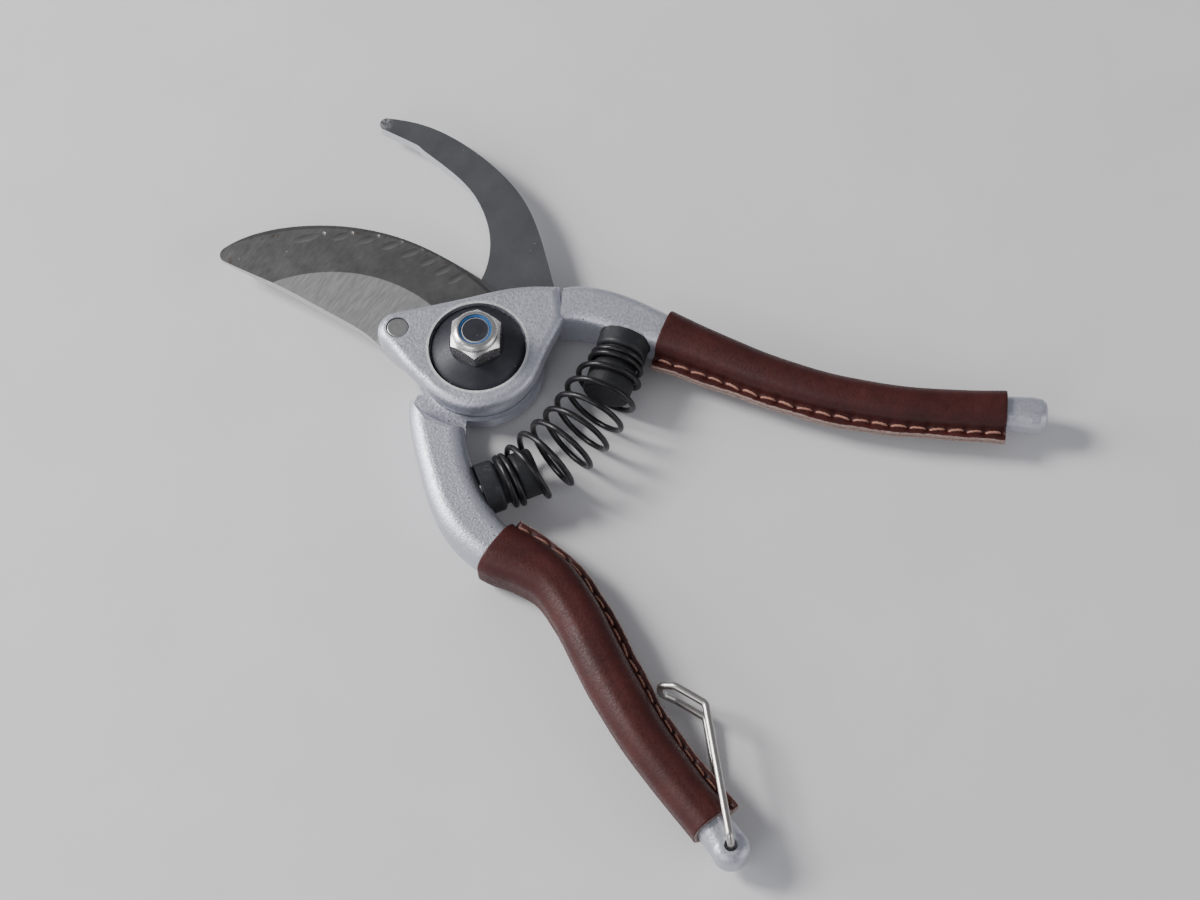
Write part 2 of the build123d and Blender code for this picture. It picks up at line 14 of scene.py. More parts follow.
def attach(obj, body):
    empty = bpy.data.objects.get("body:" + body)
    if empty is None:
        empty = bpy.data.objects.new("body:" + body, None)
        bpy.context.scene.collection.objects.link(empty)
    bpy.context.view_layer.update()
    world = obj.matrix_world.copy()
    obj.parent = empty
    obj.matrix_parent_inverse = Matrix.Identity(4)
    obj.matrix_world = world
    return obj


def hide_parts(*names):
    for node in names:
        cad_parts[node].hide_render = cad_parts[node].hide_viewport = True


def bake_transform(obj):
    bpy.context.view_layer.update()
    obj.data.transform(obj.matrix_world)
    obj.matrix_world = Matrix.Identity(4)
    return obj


MM = 0.001

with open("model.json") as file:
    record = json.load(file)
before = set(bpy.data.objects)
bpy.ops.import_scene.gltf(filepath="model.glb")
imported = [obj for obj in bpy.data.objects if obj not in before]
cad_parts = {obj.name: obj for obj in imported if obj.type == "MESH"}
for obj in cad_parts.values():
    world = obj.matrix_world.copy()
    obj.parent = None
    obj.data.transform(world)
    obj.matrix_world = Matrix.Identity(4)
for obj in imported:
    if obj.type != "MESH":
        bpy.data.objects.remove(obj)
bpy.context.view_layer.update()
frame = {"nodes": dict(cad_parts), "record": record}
nodes = frame["nodes"]

# ---------------------------------------------------------------- grips, in millimetres
MID_Z = 8.35                 # mid height of both handles
LEATHER = 1.3
SKIN_GAP = 0.25
SEAM_HALF = 1.3              # half the height of the two sewn layers
CREASE = 1.5                 # how softly the tube runs into the flat seam
THREAD_R = 0.30
STITCH_PITCH = 4.9
STITCH_L = 3.9
RAY_REACH = 30.0             # longer than any section of the leather
INSIDE_RAW = 0.6             # how much of the flesh side shows inside the sleeve
# Stations of each handle under its leather: x, y, width, height, corner radius.
UPPER_GRIP = {
    "stations": [(32.1, -30.1, 11.0, 13.9, 2.6), (34.6, -41.5, 9.0, 13.2, 3.4),
                 (36.9, -54.0, 7.9, 12.9, 3.6), (39.6, -67.0, 7.5, 12.3, 3.5),
                 (43.4, -80.2, 7.2, 11.7, 3.4), (48.4, -92.8, 7.0, 11.1, 3.3),
                 (54.4, -104.8, 7.1, 10.5, 3.3), (61.3, -116.2, 7.4, 9.9, 3.3),
                 (66.9, -125.1, 8.0, 9.6, 3.2), (70.2, -130.8, 8.9, 9.2, 3.2)],
    "side": -1, "seam_out": 3.0, "seam_in": 0.9, "back": 4.5,
}
LOWER_GRIP = {
    "stations": [(-40.8, -27.1, 14.0, 13.2, 4.4), (-42.8, -37.0, 12.8, 13.2, 4.4),
                 (-41.7, -46.0, 10.9, 13.2, 4.0), (-42.1, -55.2, 9.6, 12.9, 3.8),
                 (-45.9, -65.2, 9.6, 12.5, 3.8), (-51.4, -75.1, 9.6, 12.0, 3.8),
                 (-56.8, -85.1, 9.5, 11.5, 3.8), (-62.1, -96.1, 9.1, 11.0, 3.6),
                 (-66.4, -107.1, 8.7, 10.5, 3.6), (-69.9, -117.6, 8.3, 10.1, 3.5),
                 (-72.6, -126.6, 8.9, 9.7, 3.5), (-75.2, -134.0, 9.6, 8.8, 3.4)],
    "side": 1, "seam_out": 2.6, "seam_in": 0.8, "back": 0.0,
}

# ---------------------------------------------------------------- spring, in millimetres
SPRING_Z = 10.2
WIRE_R = 0.8
GROOVE_R = 5.7
# Each bumper: radius and angle of its end face about the pivot, its heading, and how far back
# along it the spring's end turn starts.
LOWER_SEAT = (37.3, -119.6, -33.0, 15.4 - 5.0 - WIRE_R - 0.4)
UPPER_SEAT = (36.0, -74.3, -163.0, 17.9 - 5.0 - WIRE_R - 0.4)
SPRING_TURNS = 10.5
TIGHT_TURNS = 1.6
SPRING_SWELL = 2.4


# ================================================================ meshes
def make_piece(name, points, faces, material):
    """Smooth mesh object from points in millimetres."""
    mesh = bpy.data.meshes.new(name)
    mesh.from_pydata([tuple(p * MM) for p in np.asarray(points)], [], faces)
    mesh.validate()
    mesh.materials.append(material)
    mesh.shade_smooth()
    piece = bpy.data.objects.new(name, mesh)
    bpy.context.scene.collection.objects.link(piece)
    return piece


def grid_faces(rows, columns, close_rows, base=0):
    """Quads of a grid whose columns always close on themselves."""
    faces = []
    for i in range(rows if close_rows else rows - 1):
        here, there = base + i * columns, base + (i + 1) % rows * columns
        for j in range(columns):
            k = (j + 1) % columns
            faces.append((here + j, here + k, there + k, there + j))
    return faces


def set_weight(piece, name, values):
    """Per-point number that a material can read."""
    attribute = piece.data.attributes.new(name, "FLOAT", "POINT")
    attribute.data.foreach_set("value", np.asarray(values, np.float32))


class Path:
    """Smooth curve through stations; every station's numbers are carried along it."""

    def __init__(self, stations, step=0.1):
        knots = np.array(stations, float)
        ends = np.vstack([2 * knots[0] - knots[1], knots, 2 * knots[-1] - knots[-2]])
        rows = []
        self.knot_rows = [0]
        for i in range(len(knots) - 1):
            a, b, c, d = ends[i:i + 4]
            count = max(2, int(np.hypot(*(c - b)[:2]) / step))
            for t in np.arange(count) / count:
                rows.append(0.5 * (2 * b + (c - a) * t + (2 * a - 5 * b + 4 * c - d) * t ** 2
                                   + (3 * b - a - 3 * c + d) * t ** 3))
            self.knot_rows.append(len(rows))
        rows.append(knots[-1])
        self.rows = np.array(rows)
        steps = np.hypot(*np.diff(self.rows[:, :2], axis=0).T)
        self.run = np.concatenate([[0], np.cumsum(steps)])

    def at(self, s):
        """Numbers of the path at distances s, and its unit directions there."""
        s = np.atleast_1d(s)
        values = np.stack([np.interp(s, self.run, column) for column in self.rows.T], 1)
        ahead = np.stack([np.interp(s + 0.5, self.run, c) for c in self.rows[:, :2].T], 1)
        behind = np.stack([np.interp(s - 0.5, self.run, c) for c in self.rows[:, :2].T], 1)
        heading = ahead - behind
        return values, heading / np.hypot(*heading.T)[:, None]


# ================================================================ leather grips
def rounded_box(u, z, half_u, half_z, radius):
    """Signed distance to a rounded rectangle."""
    du = np.abs(u) - half_u + radius
    dz = np.abs(z) - half_z + radius
    outside = np.hypot(np.maximum(du, 0), np.maximum(dz, 0))
    return outside + np.minimum(np.maximum(du, dz), 0) - radius


def sewn_section(u, z, width, height, corner, seam_out):
    """Signed distance to the outside of the leather: a tube that runs into a flat seam."""
    grow = SKIN_GAP + LEATHER
    tube = rounded_box(u, z, width / 2 + grow, height / 2 + grow, corner + grow)
    tip = width / 2 + grow + seam_out
    seam = rounded_box(u - tip / 2, z, tip / 2, SEAM_HALF, 0.5)
    near = np.clip(0.5 + 0.5 * (seam - tube) / CREASE, 0, 1)
    return seam + (tube - seam) * near - CREASE * near * (1 - near)


def radius_where(distance, far):
    """Distance from the centre, per ray, at which a signed distance changes sign."""
    low, high = np.zeros_like(far), far.copy()
    for _ in range(26):
        middle = (low + high) / 2
        inside = distance(middle) < 0
        low, high = np.where(inside, middle, low), np.where(inside, high, middle)
    return (low + high) / 2


def ray_angles():
    """Rays round a section, close together where the flat seam stands out."""
    fine = np.radians(np.concatenate([np.linspace(0, 11, 23)[:-1], np.linspace(11, 26, 16)[:-1],
                                      np.linspace(26, 180, 45)]))
    return np.concatenate([fine, -fine[1:-1][::-1]])


def stitch_places(path, first, length):
    """Distances along a path at the middle of every stitch."""
    count = int(length / STITCH_PITCH)
    start = first + (length - (count - 1) * STITCH_PITCH) / 2
    return start + STITCH_PITCH * np.arange(count)


def grip_path(grip):
    """Path of a handle, and where its leather starts and how long it is."""
    path = Path(grip["stations"])
    first = path.run[path.knot_rows[1]] - grip["back"]
    last = path.run[path.knot_rows[-2]]
    return path, first, last - first


def leather_grip(name, grip, material, seed):
    """Sewn sleeve with real thickness, puckered round every stitch hole."""
    path, first, length = grip_path(grip)
    rng = np.random.default_rng(seed)
    waves = rng.uniform(0, 2 * math.pi, 8)
    holes = stitch_places(path, first, length) - STITCH_PITCH / 2
    holes = np.append(holes, holes[-1] + STITCH_PITCH)
    angles = ray_angles()
    cos_a, sin_a = np.cos(angles), np.sin(angles)
    edge = [0.0, 0.04, 0.12, 0.28, 0.5]
    body = np.linspace(0.5, length - 0.5, int(length / 0.45))
    outer_s = np.concatenate([edge[:-1], body, length - np.array(edge[:-1])[::-1]])
    outer_mix = np.ones(len(outer_s))
    outer_mix[:4] = (0.72, 0.86, 0.95, 0.99)
    outer_mix[-4:] = outer_mix[:4][::-1]
    inner_s = np.linspace(length, 0, 60)
    rows, raw = [], []
    for s, share in list(zip(outer_s, outer_mix)) + [(s, 0.0) for s in inner_s]:
        (station,), (heading,) = path.at(first + s)
        x, y, width, height, corner = station
        bore = radius_where(lambda r: rounded_box(r * cos_a, r * sin_a, width / 2 + SKIN_GAP,
                                                  height / 2 + SKIN_GAP, corner + SKIN_GAP),
                            np.full(len(angles), RAY_REACH))
        if share:
            wave = 0.22 * math.sin(s / 7.3 + waves[0]) + 0.12 * math.sin(s / 2.6 + waves[1])
            seam_out = grip["seam_out"] + wave
            skin = radius_where(lambda r: sewn_section(r * cos_a, r * sin_a, width, height,
                                                       corner, seam_out),
                                np.full(len(angles), RAY_REACH))
            tip = width / 2 + SKIN_GAP + LEATHER + seam_out
            u, z = skin * cos_a, skin * sin_a
            at_edge = np.clip((u - tip + 0.9) / 0.9, 0, 1)
            skin -= 0.42 * at_edge * np.exp(-(z / 0.22) ** 2)
            stitch_u = width / 2 + SKIN_GAP + LEATHER + grip["seam_in"]
            near = np.exp(-((s + first - holes) / 0.85) ** 2).max()
            dimple = 0.55 * near + 0.12
            pinch = dimple * np.exp(-((u - stitch_u) / 0.8) ** 2) * (np.abs(angles) < 0.7)
            z = z - np.sign(z) * np.minimum(pinch, np.abs(z) * 0.8)
            skin = np.where(pinch > 0.01, np.hypot(u, z), skin)
            soft = sum(math.sin(s / (3.1 + 2.3 * k) + waves[k + 2]) * np.cos(angles * (k + 1))
                       for k in range(4))
            skin = skin + 0.045 * soft * (1 - at_edge)
            radius = bore + (skin - bore) * share
            weight = np.maximum(at_edge ** 1.5, (1 - share) * 3.4)
            u = radius * cos_a
            z = np.where(pinch > 0.01, z, radius * sin_a)
        else:
            u, z = bore * cos_a, bore * sin_a
            weight = np.full(len(angles), INSIDE_RAW)
        nx, ny = -heading[1] * grip["side"], heading[0] * grip["side"]
        rows.append(np.stack([x + nx * u, y + ny * u, MID_Z + z], 1))
        raw.append(weight)
    faces = grid_faces(len(rows), len(angles), close_rows=True)
    if grip["side"] < 0:
        faces = [face[::-1] for face in faces]
    piece = make_piece(name, np.concatenate(rows), faces, material)
    set_weight(piece, "raw", np.clip(np.concatenate(raw), 0, 1))
    return piece


def seam_point(path, grip, s, out, face, lift):
    """Point on a face of the flat seam: distance s along it, and out from the tube."""
    (station,), (heading,) = path.at(s)
    u = station[2] / 2 + SKIN_GAP + LEATHER + out
    nx, ny = -heading[1] * grip["side"], heading[0] * grip["side"]
    return np.array([station[0] + nx * u, station[1] + ny * u, MID_Z + face * (SEAM_HALF + lift)])


def tube(line, radii, around=12, ridges=0, twist=0.0):
    """Points and faces of a closed tube along a line, with twisted ridges if asked for."""
    line = np.asarray(line, float)
    tangent = np.gradient(line, axis=0)
    tangent /= np.linalg.norm(tangent, axis=1)[:, None]
    up = np.array([0.0, 0.0, 1.0])
    points = []
    run = np.concatenate([[0], np.cumsum(np.linalg.norm(np.diff(line, axis=0), axis=1))])
    phi = np.arange(around) / around * 2 * math.pi
    side = np.cross(up, tangent[0])
    for i, (p, t) in enumerate(zip(line, tangent)):
        side = side - t * (side @ t)
        side /= np.linalg.norm(side)
        other = np.cross(t, side)
        r = radii[i] * (1 + (0.17 * np.cos(ridges * phi - twist * run[i]) if ridges else 0))
        points.append(p + np.outer(r * np.cos(phi), side) + np.outer(r * np.sin(phi), other))
    count = len(line)
    faces = [face[::-1] for face in grid_faces(count, around, close_rows=False)]
    faces.append(tuple(range(around)))
    faces.append(tuple(range(count * around - 1, (count - 1) * around - 1, -1)))
    return np.concatenate(points), faces


def joined(parts):
    """One list of points and faces from several."""
    points, faces, base = [], [], 0
    for part_points, part_faces in parts:
        points.append(part_points)
        faces += [tuple(base + k for k in face) for face in part_faces]
        base += len(part_points)
    return np.concatenate(points), faces


def stitching(name, grip, material, seed):
    """Twisted thread seen as short stitches that dive into the leather at both ends."""
    path, first, length = grip_path(grip)
    rng = np.random.default_rng(seed)
    parts = []
    for middle in stitch_places(path, first, length):
        for face in (1, -1):
            lean, over = rng.uniform(-0.28, 0.28), rng.uniform(0.7, 1.5)
            line = []
            steps = np.linspace(-1, 1, 19)
            for t in steps:
                lift = 0.16 * over - 0.9 * abs(t) ** 5 + 0.05 * math.cos(4 * t)
                out = grip["seam_in"] + lean * t
                line.append(seam_point(path, grip, middle + t * STITCH_L / 2, out, face, lift))
            radii = THREAD_R * rng.uniform(0.9, 1.12) * (1 - 0.25 * np.abs(steps) ** 4)
            parts.append(tube(line, radii, around=12, ridges=3, twist=5.2))
    return make_piece(name, *joined(parts), material)


def frayed_fibres(name, grip, material, seed, tufts=34):
    """Fine pale fibres standing out of the cut edge of the seam in small tufts."""
    path, first, length = grip_path(grip)
    rng = np.random.default_rng(seed)
    parts = []
    for _ in range(tufts):
        place = first + rng.uniform(0.5, length - 0.5)
        dense = rng.integers(2, 7)
        for _ in range(dense):
            s = place + rng.normal(0, 0.5)
            reach = rng.uniform(0.25, 0.95)
            curl, rise = rng.normal(0, 0.5), rng.normal(0.1, 0.35)
            face = 0.55 * rng.uniform(-1, 1)
            line = []
            for t in np.linspace(0, 1, 6):
                p = seam_point(path, grip, s + curl * t * t, grip["seam_out"] - 0.35 + reach * t,
                               face, 0.0)
                line.append(p + np.array([0, 0, rise * t * t]))
            parts.append(tube(line, 0.06 * (1 - 0.7 * np.linspace(0, 1, 6)), around=4))
    return make_piece(name, *joined(parts), material)


# ================================================================ spring
def seat(spec):
    """Where the spring meets a bumper's groove, and the bumper's direction."""
    radius, angle, heading, back = spec
    end = np.array([radius * math.cos(math.radians(angle)), radius * math.sin(math.radians(angle))])
    way = np.array([math.cos(math.radians(heading)), math.sin(math.radians(heading))])
    return end - way * back, way


def spring_axis():
    """Bowed line between the two bumpers: a cubic with its ends along them."""
    (a, way_a), (b, way_b) = seat(LOWER_SEAT), seat(UPPER_SEAT)
    reach = np.linalg.norm(b - a)
    t = np.linspace(0, 1, 401)[:, None]
    line = ((2 * t ** 3 - 3 * t ** 2 + 1) * a + (t ** 3 - 2 * t ** 2 + t) * reach * way_a
            + (3 * t ** 2 - 2 * t ** 3) * b + (t ** 2 - t ** 3) * reach * way_b)
    run = np.concatenate([[0], np.cumsum(np.linalg.norm(np.diff(line, axis=0), axis=1))])
    return line, run


def coil_spring(name, material):
    """Barrel spring: tight end turns in the bumper grooves and open turns between them.

    Also gives how far along the open turns each point lies, and both ends of the spring.
    """
    line, run = spring_axis()
    length = run[-1]
    n = np.linspace(0, SPRING_TURNS, int(SPRING_TURNS * 44) + 1)
    from_end = np.minimum(n, SPRING_TURNS - n)
    tight_rise = WIRE_R * 2.15
    free_rise = (length - 2 * TIGHT_TURNS * tight_rise) / (SPRING_TURNS - 2 * TIGHT_TURNS)
    rise = np.where(from_end < TIGHT_TURNS, tight_rise, free_rise)
    along = np.concatenate([[0], np.cumsum((rise[1:] + rise[:-1]) / 2 * np.diff(n))])
    along *= length / along[-1]
    swell = np.clip((from_end - TIGHT_TURNS * 0.6) / 2.4, 0, 1)
    radius = GROOVE_R + WIRE_R + 0.3 + SPRING_SWELL * swell ** 2 * (3 - 2 * swell)
    centre = np.stack([np.interp(along, run, line[:, 0]), np.interp(along, run, line[:, 1])], 1)
    way = np.stack([np.gradient(centre[:, 0]), np.gradient(centre[:, 1])], 1)
    way /= np.linalg.norm(way, axis=1)[:, None]
    turn = 2 * math.pi * n
    wire = np.stack([centre[:, 0] - way[:, 1] * radius * np.cos(turn),
                     centre[:, 1] + way[:, 0] * radius * np.cos(turn),
                     SPRING_Z + radius * np.sin(turn)], 1)
    radii = np.full(len(wire), WIRE_R)
    radii[:3] = WIRE_R * np.array([0.72, 0.93, 1.0])
    radii[-3:] = radii[:3][::-1]
    around = 14
    points, faces = tube(wire, radii, around)
    piece = make_piece(name, points, faces, material)
    tight = TIGHT_TURNS * tight_rise
    share = np.clip((along - tight) / (length - 2 * tight), 0, 1)
    start, end = Vector((*centre[0], SPRING_Z)), Vector((*centre[-1], SPRING_Z))
    return piece, np.repeat(share, around), start, end


# ================================================================ materials
class Surface:
    """Material under construction: a principled shader and short ways to add nodes to it."""

    def __init__(self, name, roughness=0.5, metallic=0.0, **sockets):
        self.material = bpy.data.materials.new(name)
        self.material.use_nodes = True
        self.tree = self.material.node_tree
        self.shader = self.tree.nodes["Principled BSDF"]
        self.shader.inputs["Roughness"].default_value = roughness
        self.shader.inputs["Metallic"].default_value = metallic
        for socket, value in sockets.items():
            self.shader.inputs[socket.replace("_", " ")].default_value = value
        self.place = self.add("ShaderNodeTexCoord").outputs["Object"]
        self.normal = None

    def add(self, kind, inputs=None, **settings):
        """Node of a kind, with numbers set or sockets linked."""
        node = self.tree.nodes.new(kind)
        for key, value in settings.items():
            setattr(node, key, value)
        for key, value in (inputs or {}).items():
            socket = node.inputs[key]
            if isinstance(value, bpy.types.NodeSocket):
                self.tree.links.new(value, socket)
            else:
                socket.default_value = value
        return node

    def noise(self, size, detail=3.0, roughness=0.55, stretch=None, vector=None):
        """Noise whose features are about size millimetres across."""
        vector = vector or self.place
        if stretch:
            vector = self.add("ShaderNodeMapping", {"Vector": vector, "Scale": stretch}).outputs[0]
        return self.add("ShaderNodeTexNoise", {"Vector": vector, "Scale": 1 / (size * MM),
                                               "Detail": detail, "Roughness": roughness}).outputs[0]

    def cells(self, size, feature="F1"):
        """Distance to the middle of Voronoi cells about size millimetres across."""
        return self.add("ShaderNodeTexVoronoi", {"Vector": self.place, "Scale": 1 / (size * MM)},
                        feature=feature).outputs["Distance"]

    def remap(self, value, low, high, to_low=0.0, to_high=1.0):
        """Value taken smoothly from one range to another."""
        return self.add("ShaderNodeMapRange",
                        {"Value": value, "From Min": low, "From Max": high, "To Min": to_low,
                         "To Max": to_high},
                        interpolation_type="SMOOTHSTEP").outputs[0]

    def math(self, operation, a, b=0.0):
        return self.add("ShaderNodeMath", {0: a, 1: b}, operation=operation).outputs[0]

    def ramp(self, value, *stops):
        """Colour from a value: stops are (position, (r, g, b))."""
        node = self.add("ShaderNodeValToRGB", {"Fac": value})
        elements = node.color_ramp.elements
        while len(elements) < len(stops):
            elements.new(0.5)
        for element, (position, colour) in zip(elements, stops):
            element.position = position
            element.color = (*colour, 1.0)
        return node.outputs["Color"]

    def mix(self, share, a, b):
        """Blend of two colours."""
        node = self.tree.nodes.new("ShaderNodeMix")
        node.data_type = "RGBA"
        for index, value in ((0, share), (6, a), (7, b)):
            if isinstance(value, bpy.types.NodeSocket):
                self.tree.links.new(value, node.inputs[index])
            else:
                node.inputs[index].default_value = (*value, 1.0) if index else value
        return node.outputs[2]

    def colour(self, value):
        self.tree.links.new(value, self.shader.inputs["Base Color"])

    def rough(self, value):
        self.tree.links.new(value, self.shader.inputs["Roughness"])

    def bump(self, height, depth, strength=1.0):
        """Raise the surface by a height pattern; depth is in millimetres."""
        inputs = {"Height": height, "Distance": depth * MM, "Strength": strength}
        if self.normal:
            inputs["Normal"] = self.normal
        self.normal = self.add("ShaderNodeBump", inputs).outputs[0]
        self.tree.links.new(self.normal, self.shader.inputs["Normal"])

    def split(self):
        """The x, y and z of the place on the object, in metres."""
        return self.add("ShaderNodeSeparateXYZ", {"Vector": self.place}).outputs

    def facing_up(self):
        """How far the surface faces up, from -1 to 1."""
        normal = self.add("ShaderNodeTexCoord").outputs["Normal"]
        return self.add("ShaderNodeSeparateXYZ", {"Vector": normal}).outputs["Z"]

    def distance_from(self, x, y):
        """Distance in the plane from an upright axis at x, y in millimetres."""
        flat = self.add("ShaderNodeVectorMath", {0: self.place, 1: (1, 1, 0)}, operation="MULTIPLY")
        away = self.add("ShaderNodeVectorMath", {0: flat.outputs[0], 1: (x * MM, y * MM, 0)},
                        operation="SUBTRACT")
        length = self.add("ShaderNodeVectorMath", {0: away.outputs[0]}, operation="LENGTH")
        return length.outputs["Value"]

    def along(self, degrees, scale, offset):
        """Distance along a heading in the plane, from an offset, as a multiple of a length."""
        way = (math.cos(math.radians(degrees)) / (scale * MM),
               math.sin(math.radians(degrees)) / (scale * MM), 0)
        dot = self.add("ShaderNodeVectorMath", {0: self.place, 1: way}, operation="DOT_PRODUCT")
        return self.math("SUBTRACT", dot.outputs["Value"], offset / scale)

    def oval(self, x, y, degrees, length, half_width):
        """Mask of an oval that starts at x, y, and a ramp across it from one flank to the other, which
        carries painted light and shade.
        """
        c, k = math.cos(math.radians(degrees)), math.sin(math.radians(degrees))
        middle = x * c + y * k + length / 2
        u = self.along(degrees, length / 2, middle)
        v = self.along(degrees + 90, half_width, y * c - x * k)
        apart = self.math("ADD", self.math("MULTIPLY", u, u), self.math("MULTIPLY", v, v))
        return self.remap(apart, 0.55, 1.0, 1.0, 0.0), self.remap(v, -0.9, 0.9)


def grey(value, warm=0.0):
    """Grey with a little warmth (or coolness, below zero)."""
    return (value * (1 + warm), value, value * (1 - warm))


# Places on the metal parts, in millimetres, as in the part's own source.
RECESS_TOP = 16.0            # height above which the recess bevel is bare
GRIND_CENTRE = (-36.8, 24.1)
GRIND_R = 41.7               # where the blade's flat ends and its bevel starts
EDGE_CENTRE = (-44.7, 23.5)
EDGE_R = 64.35
EDGE_BEVEL = 1.1
SCALLOPS = 8
SCALLOP_HALF = 1.3           # half the painted width of one grinding mark
HOOK_TIP = (44.6, 65.6)
HOOK_BACK = (20, 36)         # centre of a circle close to the hook's outer curve
BOLT_TOP = 25.6


def cast_handle():
    """Blasted and painted aluminium casting: pebbled skin, dark specks, rubbed places."""
    s = Surface("cast_handle", roughness=0.4, metallic=0.7)
    pebble = s.noise(0.62, detail=3, roughness=0.55)
    broad = s.noise(16, detail=4)
    tone = s.ramp(broad, (0.3, (0.50, 0.51, 0.57)), (0.7, (0.60, 0.61, 0.68)))
    tone = s.mix(s.remap(pebble, 0.35, 0.55, 0.3, 0.0), tone, (0.38, 0.39, 0.44))
    speck = s.math("MULTIPLY", s.remap(s.cells(2.4), 0.07, 0.12, 1.0, 0.0),
                   s.remap(s.noise(8, detail=3), 0.53, 0.6))
    tone = s.mix(s.math("MULTIPLY", speck, 0.8), tone, (0.08, 0.08, 0.10))
    scratch = s.remap(s.noise(0.7, detail=2, stretch=(1, 0.05, 1)), 0.70, 0.74)
    tone = s.mix(s.math("MULTIPLY", scratch, 0.35), tone, (0.24, 0.25, 0.29))
    ring = s.math("MULTIPLY", s.remap(s.distance_from(0, 0), 13.1 * MM, 13.2 * MM),
                  s.remap(s.distance_from(0, 0), 13.75 * MM, 13.9 * MM, 1.0, 0.0))
    ring = s.math("MULTIPLY", ring, s.remap(s.split()["Z"], RECESS_TOP * MM, (RECESS_TOP + 0.05) * MM))
    s.colour(s.mix(ring, tone, grey(0.85)))
    s.rough(s.remap(pebble, 0.3, 0.7, 0.34, 0.50))
    s.bump(pebble, 0.17, 0.8)
    s.bump(s.noise(4.5, detail=1), 0.10, 0.25)
    return s.material


def blade_steel():
    """Ground blade: pale flat, darker bevel with arcs, stains and painted marks with painted light and
    shade on their flanks, a narrow edge bevel painted dark as painted shade, and side walls painted
    lighter, partly bare ground steel and partly a painted highlight.

    The marks are painted over the scallops in the CAD, whose ends alone catch the light.
    """
    s = Surface("blade_steel", roughness=0.36, metallic=0.9)
    around = s.distance_from(*GRIND_CENTRE)
    bevel = s.remap(around, (GRIND_R - 0.1) * MM, (GRIND_R + 0.2) * MM)
    lines = s.noise(0.35, detail=4, roughness=0.65, stretch=(0.09, 1, 1))
    blotch = s.noise(7, detail=5, roughness=0.6)
    flat = s.ramp(lines, (0.2, grey(0.50, 0.01)), (0.8, grey(0.525, 0.01)))
    ground = s.ramp(blotch, (0.3, grey(0.19, 0.02)), (0.7, grey(0.27, 0.03)))
    stain = s.math("MULTIPLY", s.remap(s.noise(2.2, detail=4), 0.58, 0.7),
                   s.remap(around, 50 * MM, 55 * MM))
    ground = s.mix(s.math("MULTIPLY", stain, 0.55), ground, (0.16, 0.10, 0.065))
    for i in range(SCALLOPS):
        angle = math.radians(34.2 - 7.5 * i + 0.28 * i * i)
        r = EDGE_R - 1.0 - 2.0 * 0.65 ** i
        x, y = EDGE_CENTRE[0] + r * math.cos(angle), EDGE_CENTRE[1] + r * math.sin(angle)
        mask, painted_flank_light_and_shade = s.oval(x, y, 141 + 2.7 * i, 9.0 if i == 0 else 6.0, SCALLOP_HALF)
        # Each grinding mark: one flank painted dark as painted shade, the other painted light as a
        # painted highlight.
        ground = s.mix(s.math("MULTIPLY", mask, 0.6), ground,
                       s.mix(painted_flank_light_and_shade, grey(0.13, 0.02), grey(0.42, 0.02)))
    tone = s.mix(bevel, flat, ground)
    dust = s.remap(s.cells(5.5), 0.025, 0.045, 1.0, 0.0)
    tone = s.mix(s.math("MULTIPLY", dust, 0.7), tone, grey(0.75))
    # The narrow sharpened edge bevel is painted dark: painted shade.
    bevel_r = EDGE_R - EDGE_BEVEL
    edge_bevel_shade = s.remap(s.distance_from(*EDGE_CENTRE), (bevel_r - 0.05) * MM, (bevel_r + 0.15) * MM)
    tone = s.mix(s.math("MULTIPLY", edge_bevel_shade, 0.7), tone, grey(0.14))
    # Faces that don't face up are painted lighter: partly bare ground steel, partly a painted
    # highlight.
    ground_wall_and_highlight = s.remap(s.facing_up(), 0.1, 0.4, 1.0, 0.0)
    s.colour(s.mix(ground_wall_and_highlight, tone, grey(0.62)))
    s.rough(s.remap(lines, 0.3, 0.7, 0.30, 0.44))
    arcs = s.add("ShaderNodeCombineXYZ", {"X": around}).outputs[0]
    rings = s.noise(0.28, detail=2, vector=arcs)
    s.bump(rings, 0.012, 0.4)
    s.bump(lines, 0.004, 0.3)
    return s.material


def hook_steel():
    """Dark counter blade, its walls painted lighter (partly bare ground steel, partly a painted
    highlight), and a rubbed spot at the tip.
    """
    s = Surface("hook_steel", roughness=0.38, metallic=0.85)
    blotch = s.noise(9, detail=5, roughness=0.55)
    fine = s.noise(0.5, detail=4, roughness=0.7)
    tone = s.ramp(blotch, (0.3, grey(0.155, -0.03)), (0.7, grey(0.20, -0.03)))
    worn = s.math("MULTIPLY", s.remap(s.distance_from(*HOOK_TIP), 1.0 * MM, 2.6 * MM, 1.0, 0.0),
                  s.remap(s.noise(1.0, detail=3), 0.4, 0.6))
    chips = s.math("MULTIPLY", s.remap(s.cells(2.2), 0.06, 0.09, 1.0, 0.0),
                   s.remap(s.distance_from(*HOOK_BACK), 29.5 * MM, 31.5 * MM))
    tone = s.mix(s.math("MULTIPLY", s.math("MAXIMUM", worn, chips), 0.8), tone, grey(0.6))
    # Faces that don't face up are painted lighter: partly bare ground steel, partly a painted
    # highlight.
    ground_wall_and_highlight = s.remap(s.facing_up(), 0.1, 0.5, 1.0, 0.0)
    s.colour(s.mix(ground_wall_and_highlight, tone, grey(0.70, -0.03)))
    s.rough(s.remap(fine, 0.3, 0.7, 0.32, 0.44))
    s.bump(fine, 0.012, 0.5)
    s.bump(s.noise(6, detail=2), 0.05, 0.3)
    return s.material


def bright_metal(name, tone, roughness, warm=0.0, dents=0.05):
    """Plated or bare steel with a slightly uneven, finely pitted surface."""
    s = Surface(name, roughness=roughness, metallic=1.0)
    uneven = s.noise(3.0, detail=3)
    fine = s.noise(0.5, detail=2)
    s.colour(s.mix(s.remap(uneven, 0.4, 0.7), grey(tone, warm), grey(tone * 0.92, warm + 0.02)))
    s.rough(s.remap(fine, 0.3, 0.7, roughness - 0.03, roughness + 0.04))
    s.bump(fine, 0.001, 0.3)
    s.bump(uneven, dents, 0.3)
    return s.material


